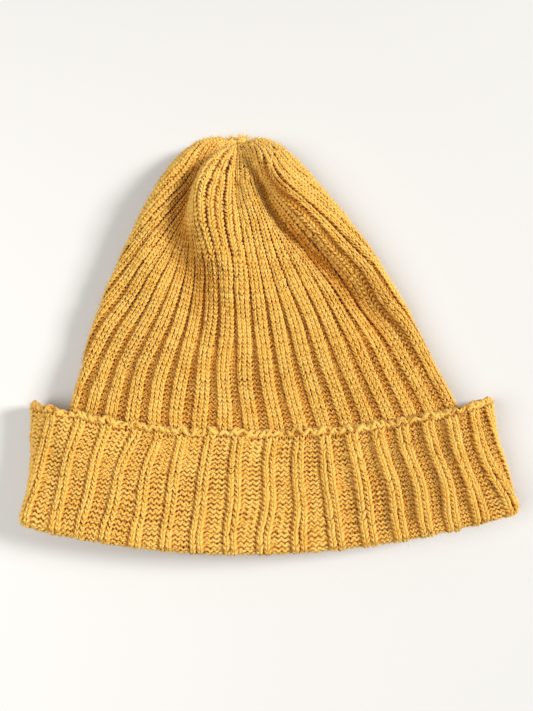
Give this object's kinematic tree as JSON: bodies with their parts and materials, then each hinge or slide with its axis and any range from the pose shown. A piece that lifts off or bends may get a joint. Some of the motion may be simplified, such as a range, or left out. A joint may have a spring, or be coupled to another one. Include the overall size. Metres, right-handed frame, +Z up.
{
  "type": "ribbed knitted beanie",
  "caption": "Ribbed knitted beanie with a turned-up cuff and a gathered, folded crown, lying flat on its back with the brim open.",
  "frame": {"origin": "on the surface that the hat lies on, under the middle of its outline", "axes": "+X across the brim to the wearer's left seen from the front wall, +Y from the brim to the crown's tip, +Z up out of the front wall"},
  "size_m": [0.2391, 0.222, 0.0282],
  "materials": {
    "yarn": "soft, slightly fuzzy hand-knitted wool in golden mustard yellow",
    "tie_yarn": "soft fuzzy wool in paler mustard yellow"
  },
  "bodies": {
    "root": {"crown": "yarn", "cuff": "yarn", "crown_tie": "tie_yarn"}
  },
  "joints": []
}
